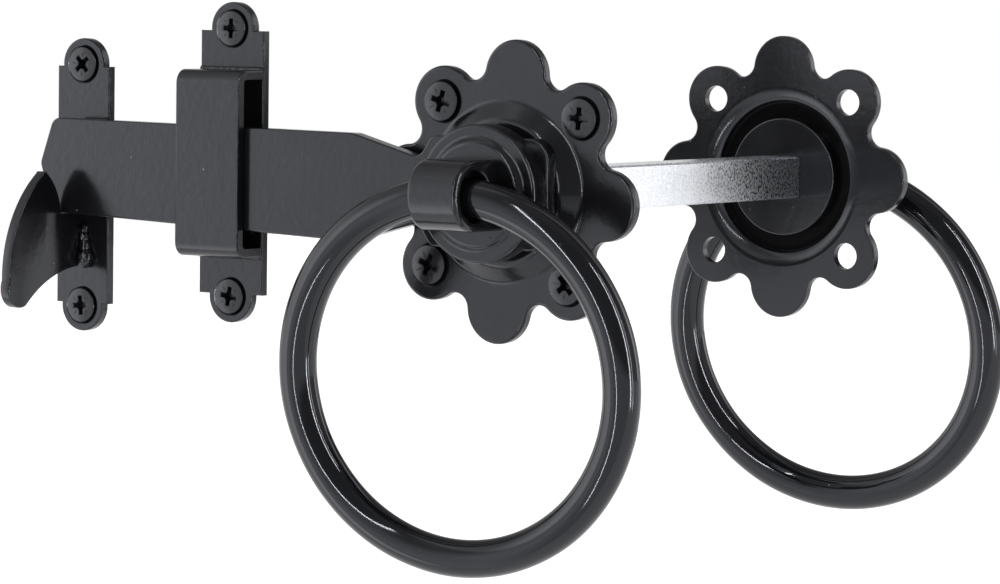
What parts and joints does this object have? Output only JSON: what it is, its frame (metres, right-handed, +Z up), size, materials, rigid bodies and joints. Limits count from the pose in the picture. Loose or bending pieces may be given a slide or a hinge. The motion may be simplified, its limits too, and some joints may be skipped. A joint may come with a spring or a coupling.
{
  "type": "ring gate latch",
  "caption": "Black ring gate latch: petalled roses with ring handles on a square spindle, a latch bar that turns with them, a staple guide and a ramped hook catch.",
  "frame": {"origin": "on the spindle's axis, in the back plane of the near rose, which lies on the gate's front face", "axes": "+Y along the spindle into the gate, -X along the latch bar to the post, +Z up"},
  "size_m": [0.1641, 0.1809, 0.1201],
  "materials": {
    "black_paint": "semi-gloss",
    "black_screw": "satin",
    "zinc": "zinc plated"
  },
  "bodies": {
    "fixed": {"near_rose": "black_paint", "near_rose_screws": "black_screw", "far_rose": "black_paint", "guide_plate": "black_paint", "guide_staple": "black_paint", "staple_weld": "black_paint", "guide_screws": "black_screw", "catch_plate": "black_paint", "catch_hook": "black_paint", "hook_weld": "black_paint", "catch_screws": "black_screw"},
    "latch": {"latch_bar": "black_paint", "near_boss": "black_paint", "near_disc": "black_paint", "spindle": "zinc", "far_disc": "black_paint", "far_boss": "black_paint"},
    "near_handle": {"near_ring": "black_paint"},
    "far_handle": {"far_ring": "black_paint"}
  },
  "joints": [
    {"name": "latch_turn", "type": "hinge", "parent": "fixed", "child": "latch", "pos_m": [0, 0, 0], "axis": [0, 1, 0], "range_deg": [0, 6.7]},
    {"name": "near_ring_swing", "type": "hinge", "parent": "latch", "child": "near_handle", "pos_m": [0, -0.023, 0], "axis": [-1, 0, 0], "range_deg": [-8, 198]},
    {"name": "far_ring_swing", "type": "hinge", "parent": "latch", "child": "far_handle", "pos_m": [0, 0.1318, 0], "axis": [1, 0, 0], "range_deg": [-20.5, 180.5]}
  ]
}
